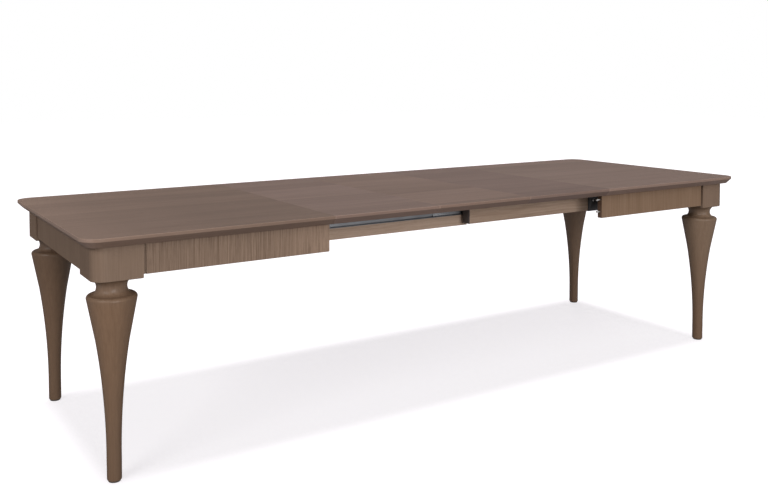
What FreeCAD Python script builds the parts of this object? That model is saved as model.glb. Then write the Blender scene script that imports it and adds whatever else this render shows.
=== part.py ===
import FreeCAD, Part
import os
import Sketcher

# Extending dining table: two half tops on turned legs, drawn apart on paired telescopic slides,
# with three loose leaves laid between them. Millimetres, +Z up, the floor at zero, the origin on
# the floor under the middle of the drawn-out table, +X along its length, -Y towards its front.
os.makedirs("parts", exist_ok=True)
document = FreeCAD.newDocument("extending_table")

# Leaves, from the left half to the right half
leaf_names = ("left", "middle", "right")
leaf_count = len(leaf_names)

# Driving sizes, each written once
driving_sizes = (
    # Tops and leaves
    ("table_height", 760),
    ("top_width", 1000),
    ("half_length", 825),
    ("leaf_length", 430),
    ("seam_gap", 0.4),
    ("top_thickness", 30),
    ("top_bevel", 20),
    ("top_corner_radius", 60),
    ("top_arris", 1.5),
    ("nose_arris", 2),
    ("seam_arris", 0.8),
    # Posts and aprons
    ("leg_inset", 112),
    ("post_side", 150),
    ("post_height", 106.5),
    ("post_corner_radius", 45),
    ("post_arris", 2),
    ("apron_height", 96),
    ("apron_thickness", 22),
    ("apron_setback", 5),
    ("apron_groove_width", 10),
    ("apron_groove_depth", 5),
    ("board_arris", 1.5),
    ("dowel_diameter", 10),
    ("dowel_length", 60),
    ("dowel_spacing", 50),
    # Turned legs
    ("leg_collar_diameter", 122),
    ("leg_collar_height", 3),
    ("leg_neck_diameter", 93),
    ("leg_neck_drop", 34.5),
    ("leg_rim_diameter", 151.5),
    ("leg_rim_drop", 61.5),
    ("leg_rim_round", 10.5),
    ("leg_knee_diameter", 100),
    ("leg_knee_height", 430),
    ("leg_ankle_diameter", 45.2),
    ("leg_ankle_height", 60),
    ("leg_foot_diameter", 44.4),
    ("leg_foot_arris", 2),
    ("stud_diameter", 10),
    ("stud_length", 90),
    ("glide_diameter", 38),
    ("glide_thickness", 5),
    ("glide_stem_diameter", 5),
    ("glide_stem_length", 18),
    # Slide beams
    ("beam_thickness", 40),
    ("beam_apron_gap", 106),
    ("beam_tail_gap", 30),
    ("right_beam_height", 85.5),
    ("right_beam_stop_gap", 50),
    ("left_beam_height", 98),
    ("left_beam_stop_gap", 30),
    ("beam_cap_thickness", 4),
    ("beam_run_depth", 0.5),
    ("beam_run_side", 2),
    ("spreader_thickness", 22),
    ("spreader_height", 60),
    ("spreader_setback", 40),
    # Telescopic steel guides between the beams
    ("guide_gap", 13),
    ("runner_height", 42),
    ("runner_depth", 11.5),
    ("runner_drop", 12),
    ("runner_margin", 6),
    ("steel_wall", 1.5),
    ("guide_clearance", 0.3),
    ("guide_length", 590),
    ("guide_lap", 170),
    # Hangers that carry the right beams at the seam
    ("hanger_length", 110),
    ("hanger_setback", 55),
    ("hanger_thickness", 3),
    ("hanger_flange", 28),
    # Angle brackets under the tops
    ("bracket_length", 40),
    ("bracket_leg", 30),
    ("bracket_thickness", 2.5),
    # Screws, pins and fits
    ("screw_diameter", 4),
    ("screw_length", 16),
    ("screw_head_diameter", 8),
    ("screw_head_height", 2.4),
    ("pin_diameter", 9),
    ("pin_length", 40),
    ("pin_clearance", 0.3),
    ("apron_pin_low", 26),
    ("apron_pin_spacing", 50),
    ("fit_clearance", 0.05),
    ("cut_overrun", 5),
)

# Places worked out from the driving sizes
worked_places = (
    ("underside", "sizes.table_height - sizes.top_thickness"),
    ("leaf_pitch", "sizes.leaf_length + sizes.seam_gap"),
    ("seam_x", f"({leaf_count} * leaf_pitch + sizes.seam_gap) / 2"),
    ("end_x", "seam_x + sizes.half_length"),
    ("edge_y", "sizes.top_width / 2"),
    ("leg_x", "end_x - sizes.leg_inset"),
    ("leg_y", "edge_y - sizes.leg_inset"),
    ("post_bottom", "underside - sizes.post_height"),
    ("post_outer_x", "leg_x + sizes.post_side / 2"),
    ("post_inner_x", "leg_x - sizes.post_side / 2"),
    ("post_outer_y", "leg_y + sizes.post_side / 2"),
    ("post_inner_y", "leg_y - sizes.post_side / 2"),
    ("apron_bottom", "underside - sizes.apron_height"),
    ("apron_length", "post_inner_x - seam_x"),
    ("apron_outer_x", "post_outer_x - sizes.apron_setback"),
    ("apron_inner_x", "apron_outer_x - sizes.apron_thickness"),
    ("apron_outer_y", "post_outer_y - sizes.apron_setback"),
    ("apron_inner_y", "apron_outer_y - sizes.apron_thickness"),
    ("apron_middle_x", "apron_outer_x - sizes.apron_thickness / 2"),
    ("apron_middle_y", "apron_outer_y - sizes.apron_thickness / 2"),
    # Beams run as far as the closed table leaves room for
    ("travel", f"{leaf_count} * leaf_pitch"),
    ("right_beam_outer_y", "apron_inner_y - sizes.beam_apron_gap"),
    ("right_beam_inner_y", "right_beam_outer_y - sizes.beam_thickness"),
    ("right_beam_bottom", "underside - sizes.right_beam_height"),
    ("right_beam_start", "travel - post_inner_x + sizes.right_beam_stop_gap"),
    ("right_beam_end", "post_inner_x - sizes.beam_tail_gap"),
    ("left_beam_outer_y", "right_beam_inner_y - sizes.guide_gap"),
    ("left_beam_inner_y", "left_beam_outer_y - sizes.beam_thickness"),
    ("left_beam_bottom", "underside - sizes.left_beam_height"),
    ("left_beam_start", "sizes.beam_tail_gap - post_inner_x"),
    ("left_beam_end", "apron_inner_x - travel - sizes.left_beam_stop_gap"),
    ("left_run_start", "right_beam_start - sizes.beam_cap_thickness - travel - sizes.beam_run_side"),
    ("right_run_end", "left_beam_end + travel + sizes.beam_run_side"),
    ("runner_bottom", "underside - sizes.runner_drop - sizes.runner_height"),
    ("runner_middle", "runner_bottom + sizes.runner_height / 2"),
    ("runner_start", "left_beam_start + sizes.runner_margin"),
    ("runner_length", "left_beam_end - left_beam_start - 2 * sizes.runner_margin"),
    ("slider_start", "right_beam_start + sizes.runner_margin"),
    ("slider_length", "right_beam_end - right_beam_start - 2 * sizes.runner_margin"),
    ("nest_step", "sizes.steel_wall + sizes.guide_clearance"),
    ("pin_half", "sizes.pin_length / 2"),
    ("top_middle", "underside + sizes.top_thickness / 2"),
    # Heights and radii of the turned leg
    ("rim_height", "post_bottom - sizes.leg_rim_drop"),
    ("rim_radius", "sizes.leg_rim_diameter / 2"),
    ("neck_radius", "sizes.leg_neck_diameter / 2"),
    ("dome_radius", "rim_radius - sizes.leg_rim_round"),
    ("neck_height", "post_bottom - sizes.leg_neck_drop"),
)


def fill_sheet(name, rows, prefix):
    """One row for each value: its word in column A, the value under that alias in column B."""
    sheet = document.addObject("Spreadsheet::Sheet", name)
    for row, (alias, value) in enumerate(rows, start=1):
        sheet.set(f"A{row}", alias)
        sheet.set(f"B{row}", f"{prefix}{value}")
        sheet.setAlias(f"B{row}", alias)
    document.recompute()
    return sheet


sizes = fill_sheet("sizes", driving_sizes, "")
places = fill_sheet("places", worked_places, "=")

# Axes that rods run along, and the planes that pieces are mirrored in
rod_turns = {
    "x": FreeCAD.Rotation(FreeCAD.Vector(0, 1, 0), 90),
    "y": FreeCAD.Rotation(FreeCAD.Vector(1, 0, 0), -90),
    "z": FreeCAD.Rotation(),
}
front_to_rear = FreeCAD.Vector(0, 1, 0)
left_to_right = FreeCAD.Vector(1, 0, 0)
closeness_share = 0.001
closeness = sizes.top_thickness * closeness_share
sub_parts = []


def move(thing, corner):
    for axis, formula in zip("xyz", corner):
        thing.setExpression(f"Placement.Base.{axis}", formula)


def box(name, lengths, corner):
    """Block with its lowest corner at a place."""
    solid = document.addObject("Part::Box", name)
    for side, formula in zip(("Length", "Width", "Height"), lengths):
        solid.setExpression(side, formula)
    move(solid, corner)
    return solid


def rod(name, diameter, length, start, along):
    """Round bar from a start point along one axis."""
    solid = document.addObject("Part::Cylinder", name)
    solid.setExpression("Radius", f"({diameter}) / 2")
    solid.setExpression("Height", length)
    solid.Placement = FreeCAD.Placement(FreeCAD.Vector(), rod_turns[along])
    move(solid, start)
    return solid


def group(name, things):
    gathered = document.addObject("Part::Compound", name)
    gathered.Links = things
    return gathered


def fuse(name, first, second):
    joined = document.addObject("Part::Fuse", name)
    joined.Base = first
    joined.Tool = second
    return joined


def cut(name, blank, tool):
    drilled = document.addObject("Part::Cut", name)
    drilled.Base = blank
    drilled.Tool = tool
    return drilled


def mirror(name, source, normal):
    other = document.addObject("Part::Mirroring", name)
    other.Source = source
    other.Normal = normal
    return other


def both(name, front):
    """The front pieces and their mirror images at the rear, as one group."""
    return group(name, [front, mirror(name + "_rear", front, front_to_rear)])


def placed(name, source, turn, corner):
    """A copy turned about the upright and set at a place."""
    copy = group(name, [source])
    upright = FreeCAD.Rotation(FreeCAD.Vector(0, 0, 1), turn)
    copy.Placement = FreeCAD.Placement(FreeCAD.Vector(), upright)
    move(copy, corner)
    return copy


def keep(label, thing):
    """Name a finished sub-part."""
    thing.Label = label
    sub_parts.append(thing)
    return thing


def origin_plane(body, role):
    return [feature for feature in body.Origin.OriginFeatures if feature.Role == role][0]


def board(name, lengths, corner):
    """Board padded up from a rectangle with one corner at the board's own origin."""
    length, width, thickness = lengths
    body = document.addObject("PartDesign::Body", name)
    sketch = body.newObject("Sketcher::SketchObject", name + "_outline")
    sketch.AttachmentSupport = [(origin_plane(body, "XY_Plane"), "")]
    sketch.MapMode = "FlatFace"
    unit_square = [FreeCAD.Vector(x, y, 0) for x, y in ((0, 0), (1, 0), (1, 1), (0, 1))]
    for line in range(4):
        sketch.addGeometry(Part.LineSegment(unit_square[line], unit_square[(line + 1) % 4]))
    for line in range(4):
        sketch.addConstraint(Sketcher.Constraint("Coincident", line, 2, (line + 1) % 4, 1))
        sketch.addConstraint(Sketcher.Constraint(("Horizontal", "Vertical")[line % 2], line))
    sketch.addConstraint(Sketcher.Constraint("Coincident", 0, 1, -1, 1))
    for kind, line, formula in (("DistanceX", 0, length), ("DistanceY", 1, width)):
        index = sketch.addConstraint(Sketcher.Constraint(kind, line, 1, line, 2, 1))
        sketch.setExpression(f"Constraints[{index}]", formula)
    pad = body.newObject("PartDesign::Pad", name + "_pad")
    pad.Profile = sketch
    pad.setExpression("Length", thickness)
    body.Tip = pad
    move(body, corner)
    document.recompute()
    return body


def ease(body, kind, size, chosen):
    """Round or bevel the edges whose bounds the test picks, in the body's own frame."""
    base = body.Tip
    edges = enumerate(base.Shape.Edges, start=1)
    names = [f"Edge{number}" for number, edge in edges if chosen(edge.BoundBox)]
    feature = body.newObject(f"PartDesign::{kind}", f"{body.Name}_{kind.lower()}")
    feature.Base = (base, names)
    feature.setExpression({"Fillet": "Radius", "Chamfer": "Size"}[kind], size)
    body.Tip = feature
    document.recompute()


def near(first, second):
    return abs(first - second) < closeness


def level(bounds, height):
    return near(bounds.ZMin, height) and near(bounds.ZMax, height)


def across(bounds, x):
    """Edge lying in an upright plane square to the length."""
    return near(bounds.XMin, x) and near(bounds.XMax, x)


def upright(bounds):
    return bounds.ZLength > closeness and bounds.XLength < closeness and bounds.YLength < closeness


def top_blank(name, length, corner, seams):
    """Top board with a nosed and bevelled edge, plain at its seams."""
    body = board(name, (length, "sizes.top_width", "sizes.top_thickness"), corner)
    thickness = sizes.top_thickness
    nose = sizes.top_bevel

    def at_seam(bounds):
        return any(across(bounds, seam) for seam in seams)

    if len(seams) == 1:
        ease(body, "Fillet", "sizes.top_corner_radius", lambda b: upright(b) and near(b.XMax, 0))
    ease(body, "Chamfer", "sizes.top_bevel", lambda b: level(b, 0) and not at_seam(b))
    ease(body, "Fillet", "sizes.nose_arris", lambda b: level(b, nose) and not at_seam(b))
    ease(body, "Fillet", "sizes.top_arris", lambda b: level(b, thickness) and not at_seam(b))
    ease(body, "Chamfer", "sizes.seam_arris", lambda b: level(b, thickness) and at_seam(b))
    return body


def eased_board(name, lengths, corner, along):
    """Board whose two lower long edges are lightly rounded."""
    body = board(name, lengths, corner)
    run = {"x": "XLength", "y": "YLength"}[along]
    longest = max(getattr(edge.BoundBox, run) for edge in body.Tip.Shape.Edges)
    ease(body, "Fillet", "sizes.board_arris", lambda b: level(b, 0) and near(getattr(b, run), longest))
    return body


# Half tops: one board each, nosed along the front, the outer end and the rear
left_top_blank = top_blank(
    "left_top_blank", "sizes.half_length", ("-places.end_x", "-places.edge_y", "places.underside"),
    (sizes.half_length,),
)
right_top_blank = mirror("right_top_blank", left_top_blank, left_to_right)

# Corner posts: square blocks with a rounded outer corner, one over each leg
post_blank = board(
    "post_blank", ("sizes.post_side", "sizes.post_side", "sizes.post_height"),
    ("-places.post_outer_x", "-places.post_outer_y", "places.post_bottom"),
)
ease(post_blank, "Fillet", "sizes.post_corner_radius",
     lambda b: upright(b) and near(b.XMax, 0) and near(b.YMax, 0))
ease(post_blank, "Chamfer", "sizes.post_arris", lambda b: level(b, 0))

# Aprons: boards between the posts, and from the posts to the seam, with an upright shadow groove
# beside each post
front_apron_board = eased_board(
    "front_apron_board", ("places.apron_length", "sizes.apron_thickness", "sizes.apron_height"),
    ("-places.post_inner_x", "-places.apron_outer_y", "places.apron_bottom"), "x",
)
end_apron_board = eased_board(
    "end_apron_board", ("sizes.apron_thickness", "2 * places.post_inner_y", "sizes.apron_height"),
    ("-places.apron_outer_x", "-places.post_inner_y", "places.apron_bottom"), "y",
)

groove_height = "sizes.apron_height + 2 * sizes.cut_overrun"
groove_bottom = "places.apron_bottom - sizes.cut_overrun"
groove_cut = "sizes.apron_groove_depth + sizes.cut_overrun"
front_groove = box(
    "front_groove", ("sizes.apron_groove_width", groove_cut, groove_height),
    ("-places.post_inner_x", "-places.apron_outer_y - sizes.cut_overrun", groove_bottom),
)
end_groove = box(
    "end_groove", (groove_cut, "sizes.apron_groove_width", groove_height),
    ("-places.apron_outer_x - sizes.cut_overrun", "-places.post_inner_y", groove_bottom),
)
front_apron_blank = cut("front_apron_blank", front_apron_board, front_groove)
end_apron_blank = cut("end_apron_blank", end_apron_board, both("end_grooves", end_groove))

# Dowels that join each apron end to its post, with the holes that they sit in
dowel_low = "places.apron_bottom + (sizes.apron_height - sizes.dowel_spacing) / 2"
dowel_heights = (dowel_low, f"{dowel_low} + sizes.dowel_spacing")
snug = "2 * sizes.fit_clearance"
dowels = []
dowel_bores = []
for number, height in enumerate(dowel_heights):
    joints = (
        ("x", ("-places.post_inner_x", "-places.apron_middle_y"), 0),
        ("y", ("-places.apron_middle_x", "-places.post_inner_y"), 1),
    )
    for along, spot, run in joints:
        start = [spot[0], spot[1], height]
        start[run] = f"{spot[run]} - sizes.dowel_length / 2"
        name = f"dowel_{along}{number}"
        dowels.append(rod(name, "sizes.dowel_diameter", "sizes.dowel_length", start, along))
        start[run] = f"{spot[run]} - sizes.dowel_length / 2 - sizes.fit_clearance"
        dowel_bores.append(rod(
            name + "_bore", f"sizes.dowel_diameter + {snug}", f"sizes.dowel_length + {snug}", start, along,
        ))

# Steel studs that hold the legs to the posts
stud_start = "places.post_bottom - sizes.stud_length / 2"
stud = rod("stud", "sizes.stud_diameter", "sizes.stud_length",
           ("-places.leg_x", "-places.leg_y", stud_start), "z")
stud_bore = rod(
    "stud_bore", f"sizes.stud_diameter + {snug}", f"sizes.stud_length + {snug}",
    ("-places.leg_x", "-places.leg_y", f"{stud_start} - sizes.fit_clearance"), "z",
)

# Nylon glides under the feet, each with a stem driven into its leg
glide_disc = rod("glide_disc", "sizes.glide_diameter", "sizes.glide_thickness",
                 ("-places.leg_x", "-places.leg_y", "0"), "z")
glide_stem = rod("glide_stem", "sizes.glide_stem_diameter", "sizes.glide_stem_length",
                 ("-places.leg_x", "-places.leg_y", "0"), "z")
glide = fuse("glide", glide_disc, glide_stem)
glide_bore = rod(
    "glide_bore", f"sizes.glide_stem_diameter + {snug}", "sizes.glide_stem_length + sizes.fit_clearance",
    ("-places.leg_x", "-places.leg_y", "0"), "z",
)

# Turned leg: the outline from the foot's centre up to the collar under the post.
# Each run ends at a radius and a height, and bows inwards by a share of its length.
taper_bow_share = 0.0208
shoulder_bow_share = 0.2071
cove_bow_share = 0.1785
flare_bow_share = 0.1735
leg_runs = (
    ("sizes.leg_foot_diameter / 2 - sizes.leg_foot_arris", "sizes.glide_thickness", 0),
    ("sizes.leg_foot_diameter / 2", "sizes.glide_thickness + sizes.leg_foot_arris", 0),
    ("sizes.leg_ankle_diameter / 2", "sizes.leg_ankle_height", 0),
    ("sizes.leg_knee_diameter / 2", "sizes.leg_knee_height", taper_bow_share),
    ("places.rim_radius", "places.rim_height", 0),
    ("places.dome_radius", "places.rim_height + sizes.leg_rim_round", -shoulder_bow_share),
    ("places.neck_radius", "places.neck_height", cove_bow_share),
    ("sizes.leg_collar_diameter / 2", "places.post_bottom - sizes.leg_collar_height", flare_bow_share),
    ("sizes.leg_collar_diameter / 2", "places.post_bottom", 0),
    ("0", "places.post_bottom", 0),
)
leg_cells = []
for number, (radius, height, bow) in enumerate(leg_runs):
    leg_cells += [(f"radius_{number}", radius), (f"height_{number}", height)]
turning = fill_sheet("turning", leg_cells, "=")
leg_points = [
    FreeCAD.Vector(turning.get(f"radius_{number}"), turning.get(f"height_{number}"), 0)
    for number in range(len(leg_runs))
]

leg_blank = document.addObject("PartDesign::Body", "leg_blank")
leg_outline = leg_blank.newObject("Sketcher::SketchObject", "leg_outline")
leg_outline.AttachmentSupport = [(origin_plane(leg_blank, "XZ_Plane"), "")]
leg_outline.MapMode = "FlatFace"
axis_foot = FreeCAD.Vector(0, leg_points[0].y, 0)
corners = [axis_foot] + leg_points
bows = [bow for radius, height, bow in leg_runs] + [0]
run_ends = []
for number, start in enumerate(corners):
    end = corners[(number + 1) % len(corners)]
    if bows[number]:
        chord = end - start
        middle = start + chord / 2 + FreeCAD.Vector(-chord.y, chord.x, 0) * bows[number]
        line = leg_outline.addGeometry(Part.Arc(start, middle, end))
    else:
        line = leg_outline.addGeometry(Part.LineSegment(start, end))
    first = 1 if (leg_outline.getPoint(line, 1) - start).Length < closeness else 2
    run_ends.append((line, first, 3 - first))
for number, (line, first, last) in enumerate(run_ends):
    following, entry, leaving = run_ends[(number + 1) % len(run_ends)]
    leg_outline.addConstraint(Sketcher.Constraint("Coincident", line, last, following, entry))
for number, point in enumerate(leg_points[:-1]):
    line, first, last = run_ends[number + 1]
    for kind, column, value in (("DistanceX", "radius", point.x), ("DistanceY", "height", point.y)):
        index = leg_outline.addConstraint(Sketcher.Constraint(kind, -1, 1, line, first, value))
        leg_outline.setExpression(f"Constraints[{index}]", f"turning.{column}_{number}")
leg_turned = leg_blank.newObject("PartDesign::Revolution", "leg_turned")
leg_turned.Profile = leg_outline
leg_turned.ReferenceAxis = (leg_outline, ["V_Axis"])
leg_blank.Tip = leg_turned
move(leg_blank, ("-places.leg_x", "-places.leg_y", "0"))
document.recompute()

# Angle bracket in its own frame: the wall is the plane y = 0, the top lies on the plane z = 0.
# One screw goes back into the wall and one up into the top.
bracket_screw_share = 0.6
bracket_wall = box(
    "bracket_wall", ("sizes.bracket_length", "sizes.bracket_thickness", "sizes.bracket_leg"),
    ("-sizes.bracket_length / 2", "0", "-sizes.bracket_leg"),
)
bracket_shelf = box(
    "bracket_shelf", ("sizes.bracket_length", "sizes.bracket_leg", "sizes.bracket_thickness"),
    ("-sizes.bracket_length / 2", "0", "-sizes.bracket_thickness"),
)
bracket_blank = fuse("bracket_blank", bracket_wall, bracket_shelf)


def screw(name, seat, along, sense):
    """Round-headed screw seated at a point, and the hole for its shank."""
    run = "xyz".index(along)
    head_start, shank_start, bore_start = list(seat), list(seat), list(seat)
    if sense > 0:
        head_start[run] = f"{seat[run]} - sizes.screw_head_height"
    else:
        shank_start[run] = f"{seat[run]} - sizes.screw_length"
        bore_start[run] = f"{seat[run]} - sizes.screw_length - sizes.fit_clearance"
    head = rod(name + "_head", "sizes.screw_head_diameter", "sizes.screw_head_height", head_start, along)
    shank = rod(name + "_shank", "sizes.screw_diameter", "sizes.screw_length", shank_start, along)
    bore = rod(
        name + "_bore", f"sizes.screw_diameter + {snug}", "sizes.screw_length + sizes.fit_clearance",
        bore_start, along,
    )
    return fuse(name, head, shank), bore


screw_offset = f"{bracket_screw_share} * sizes.bracket_leg"
wall_screw, wall_bore = screw("wall_screw", ("0", "sizes.bracket_thickness", f"-{screw_offset}"), "y", -1)
shelf_screw, shelf_bore = screw("shelf_screw", ("0", screw_offset, "-sizes.bracket_thickness"), "z", 1)
bracket_screws = group("bracket_screws", [wall_screw, shelf_screw])
bracket_bores = group("bracket_bores", [wall_bore, shelf_bore])
bracket = cut("bracket", bracket_blank, bracket_bores)

# Where brackets stand: the turn from their own frame, and a corner under the top
apron_bracket_shares = (0.2, 0.8)
end_bracket_share = 0.5
left_beam_bracket_shares = (0.35, 0.7)
right_beam_bracket_share = 0.8
frame_bracket_spots = [
    (0, (f"-places.post_inner_x + {share} * places.apron_length", "-places.apron_inner_y",
         "places.underside"))
    for share in apron_bracket_shares
]
frame_bracket_spots.append(
    (-90, ("-places.apron_inner_x", f"-{end_bracket_share} * places.post_inner_y", "places.underside"))
)
left_bracket_spots = [
    (0, (f"-places.seam_x - {share} * places.apron_length", "-places.left_beam_inner_y",
         "places.underside"))
    for share in left_beam_bracket_shares
]
right_bracket_spots = [
    (180, (f"places.seam_x + {right_beam_bracket_share} * places.apron_length",
           "-places.right_beam_outer_y", "places.underside"))
]


def bracket_set(name, source, spots):
    return group(name, [
        placed(f"{name}_{number}", source, turn, spot) for number, (turn, spot) in enumerate(spots)
    ])


frame_brackets = both("frame_brackets", bracket_set("frame_brackets_front", bracket, frame_bracket_spots))
frame_screws = both("frame_screws", bracket_set("frame_screws_front", bracket_screws, frame_bracket_spots))
frame_screw_bores = both(
    "frame_screw_bores", bracket_set("frame_bores_front", bracket_bores, frame_bracket_spots)
)
left_brackets = both("left_beam_brackets", bracket_set("left_brackets_front", bracket, left_bracket_spots))
left_screws = both("left_beam_screws", bracket_set("left_screws_front", bracket_screws, left_bracket_spots))
left_screw_bores = both(
    "left_screw_bores", bracket_set("left_bores_front", bracket_bores, left_bracket_spots)
)
right_brackets = both(
    "right_beam_brackets", bracket_set("right_brackets_front", bracket, right_bracket_spots)
)
right_screws = both(
    "right_beam_screws", bracket_set("right_screws_front", bracket_screws, right_bracket_spots)
)
right_screw_bores = both(
    "right_screw_bores", bracket_set("right_bores_front", bracket_bores, right_bracket_spots)
)

# Frame bores shared by the pieces of a left corner, and of the whole left frame
corner_bores = group("corner_bores", dowel_bores + [stud_bore])
frame_bores = group("frame_bores", [both("all_corner_bores", corner_bores), frame_screw_bores])

# Posts, legs, studs, glides and dowels of the left half, and the same mirrored for the right half
left_front_post = keep("left_front_post", cut("left_front_post", post_blank, corner_bores))
left_rear_post = keep("left_rear_post", mirror("left_rear_post", left_front_post, front_to_rear))
leg_bores = group("leg_bores", [stud_bore, glide_bore])
left_front_leg = keep("left_front_leg", cut("left_front_leg", leg_blank, leg_bores))
left_rear_leg = keep("left_rear_leg", mirror("left_rear_leg", left_front_leg, front_to_rear))
left_leg_studs = keep("left_leg_studs", both("left_leg_studs", stud))
left_foot_glides = keep("left_foot_glides", both("left_foot_glides", glide))
left_apron_dowels = keep("left_apron_dowels", both("left_apron_dowels", group("front_dowels", dowels)))
left_end_apron = keep("left_end_apron", cut("left_end_apron", end_apron_blank, frame_bores))
mirrored_pieces = (
    left_front_post, left_rear_post, left_front_leg, left_rear_leg, left_leg_studs,
    left_foot_glides, left_apron_dowels, left_end_apron,
)
for piece in mirrored_pieces:
    right_name = piece.Label.replace("left", "right")
    keep(right_name, mirror(right_name, piece, left_to_right))

# Alignment pins across the seams: each sits in the piece on its right and enters the one on its left
top_pin_shares = (-0.4, -0.15, 0.15, 0.4)
apron_pin_heights = (
    "places.apron_bottom + sizes.apron_pin_low",
    "places.apron_bottom + sizes.apron_pin_low + sizes.apron_pin_spacing",
)
apron_spots = [
    (f"{side} * places.apron_middle_y", height) for side in (-1, 1) for height in apron_pin_heights
]
top_spots = [(f"{share} * sizes.top_width", "places.top_middle") for share in top_pin_shares]


def rod_row(name, diameter, length, start, spots):
    """Round bars along the table, side by side in one plane across it."""
    return group(name, [
        rod(f"{name}_{number}", diameter, length, (start, across_y, height), "x")
        for number, (across_y, height) in enumerate(spots)
    ])


def pin_row(name, seam, spots):
    """Pins that stand half out of the piece on the right of a seam, and the seats they are pressed into."""
    start = f"{seam} - places.pin_half"
    pins = rod_row(f"{name}_pins", "sizes.pin_diameter", "sizes.pin_length", start, spots)
    seats = rod_row(f"{name}_seats", f"sizes.pin_diameter + {snug}",
                    "sizes.pin_length + sizes.fit_clearance", start, spots)
    return pins, seats


def socket_row(name, seam, spots):
    """Holes that the pins enter, in the piece on the left of a seam."""
    return rod_row(
        f"{name}_sockets", "sizes.pin_diameter + 2 * sizes.pin_clearance",
        "places.pin_half + sizes.pin_clearance + sizes.cut_overrun",
        f"{seam} - places.pin_half - sizes.pin_clearance", spots,
    )


# The seams from the left: each leaf's left edge, then the right half's. The closed table uses the first.
leaf_starts = [f"(-places.seam_x + sizes.seam_gap + {number} * places.leaf_pitch)"
               for number in range(leaf_count)]
right_pins, right_seats = pin_row("right_top", "places.seam_x", top_spots)
right_apron_pins, right_apron_seats = pin_row("right_apron", "places.seam_x", apron_spots)
left_apron_sockets = socket_row("left_apron", leaf_starts[0], apron_spots)
left_sockets = socket_row("left_top", leaf_starts[0], top_spots)
keep("right_top_pins", right_pins)
keep("right_apron_pins", right_apron_pins)

# Leaves: plain boards nosed along the front and rear, pins on the left edge, sockets on the right
next_seams = leaf_starts[1:] + ["places.seam_x"]
for name, start, next_seam in zip(leaf_names, leaf_starts, next_seams):
    blank = top_blank(
        f"leaf_{name}_blank", "sizes.leaf_length", (start, "-places.edge_y", "places.underside"),
        (0, sizes.leaf_length),
    )
    pins, seats = pin_row(f"leaf_{name}", start, top_spots)
    holes = group(f"leaf_{name}_holes", [seats, socket_row(f"leaf_{name}", next_seam, top_spots)])
    keep(f"leaf_{name}", cut(f"leaf_{name}", blank, holes))
    keep(f"leaf_{name}_pins", pins)

# Slide beams: the left half carries the inner pair, the right half the outer pair
left_beam_blank = eased_board(
    "left_beam_blank",
    ("places.left_beam_end - places.left_beam_start", "sizes.beam_thickness", "sizes.left_beam_height"),
    ("places.left_beam_start", "-places.left_beam_outer_y", "places.left_beam_bottom"), "x",
)
right_beam_blank = eased_board(
    "right_beam_blank",
    ("places.right_beam_end - places.right_beam_start", "sizes.beam_thickness", "sizes.right_beam_height"),
    ("places.right_beam_start", "-places.right_beam_outer_y", "places.right_beam_bottom"), "x",
)

# Flat-headed screws that hold the steel channels, sunk flush in the channel walls
channel_screw_shares = (0.05, 0.35, 0.65, 0.95)


def channel_screws(name, start, length, seat_y, sense):
    """A row of flush screws along a channel, and their holes."""
    screws, bores = [], []
    for number, share in enumerate(channel_screw_shares):
        spot_x = f"{start} + {share} * {length}"
        head_y = seat_y if sense < 0 else f"{seat_y} - sizes.steel_wall"
        shank_y = f"{seat_y} - sizes.screw_length" if sense < 0 else seat_y
        bore_y = f"{shank_y} - sizes.fit_clearance" if sense < 0 else shank_y
        label = f"{name}_{number}"
        height = "places.runner_middle"
        head = rod(label + "_head", "sizes.screw_head_diameter", "sizes.steel_wall",
                   (spot_x, head_y, height), "y")
        shank = rod(label + "_shank", "sizes.screw_diameter", "sizes.screw_length",
                    (spot_x, shank_y, height), "y")
        screws.append(fuse(label, head, shank))
        bores.append(rod(label + "_head_bore", f"sizes.screw_head_diameter + {snug}", "sizes.steel_wall",
                         (spot_x, head_y, height), "y"))
        bores.append(rod(label + "_bore", f"sizes.screw_diameter + {snug}",
                         "sizes.screw_length + sizes.fit_clearance", (spot_x, bore_y, height), "y"))
    return group(name, screws), group(name + "_bores", bores)


def channel(name, lengths, corner, hollow, hollow_corner):
    return cut(name, box(name + "_outside", lengths, corner), box(name + "_hollow", hollow, hollow_corner))


# Runner on the left beam: a steel channel open towards the right beam
runner_screws, runner_bores = channel_screws(
    "runner_screws", "places.runner_start", "places.runner_length", "-places.left_beam_outer_y", 1,
)
runner_open = channel(
    "runner_open", ("places.runner_length", "sizes.runner_depth", "sizes.runner_height"),
    ("places.runner_start", "-places.left_beam_outer_y - sizes.runner_depth", "places.runner_bottom"),
    ("places.runner_length", "sizes.runner_depth - sizes.steel_wall",
     "sizes.runner_height - 2 * sizes.steel_wall"),
    ("places.runner_start", "-places.left_beam_outer_y - sizes.runner_depth",
     "places.runner_bottom + sizes.steel_wall"),
)
left_front_runner = keep("left_front_runner", cut("left_front_runner", runner_open, runner_bores))
keep("left_rear_runner", mirror("left_rear_runner", left_front_runner, front_to_rear))
keep("left_runner_screws", both("left_runner_screws", runner_screws))

# Middle guide: a smaller channel that runs in the runner and carries the slider
guide_front = keep("guide_front", channel(
    "guide_front",
    ("sizes.guide_length", "sizes.runner_depth - places.nest_step",
     "sizes.runner_height - 2 * places.nest_step"),
    ("places.left_beam_end - sizes.guide_lap", "-places.left_beam_outer_y - sizes.runner_depth",
     "places.runner_bottom + places.nest_step"),
    ("sizes.guide_length", "sizes.runner_depth - places.nest_step - sizes.steel_wall",
     "sizes.runner_height - 2 * places.nest_step - 2 * sizes.steel_wall"),
    ("places.left_beam_end - sizes.guide_lap", "-places.left_beam_outer_y - sizes.runner_depth",
     "places.runner_bottom + places.nest_step + sizes.steel_wall"),
))
keep("guide_rear", mirror("guide_rear", guide_front, front_to_rear))

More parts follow.
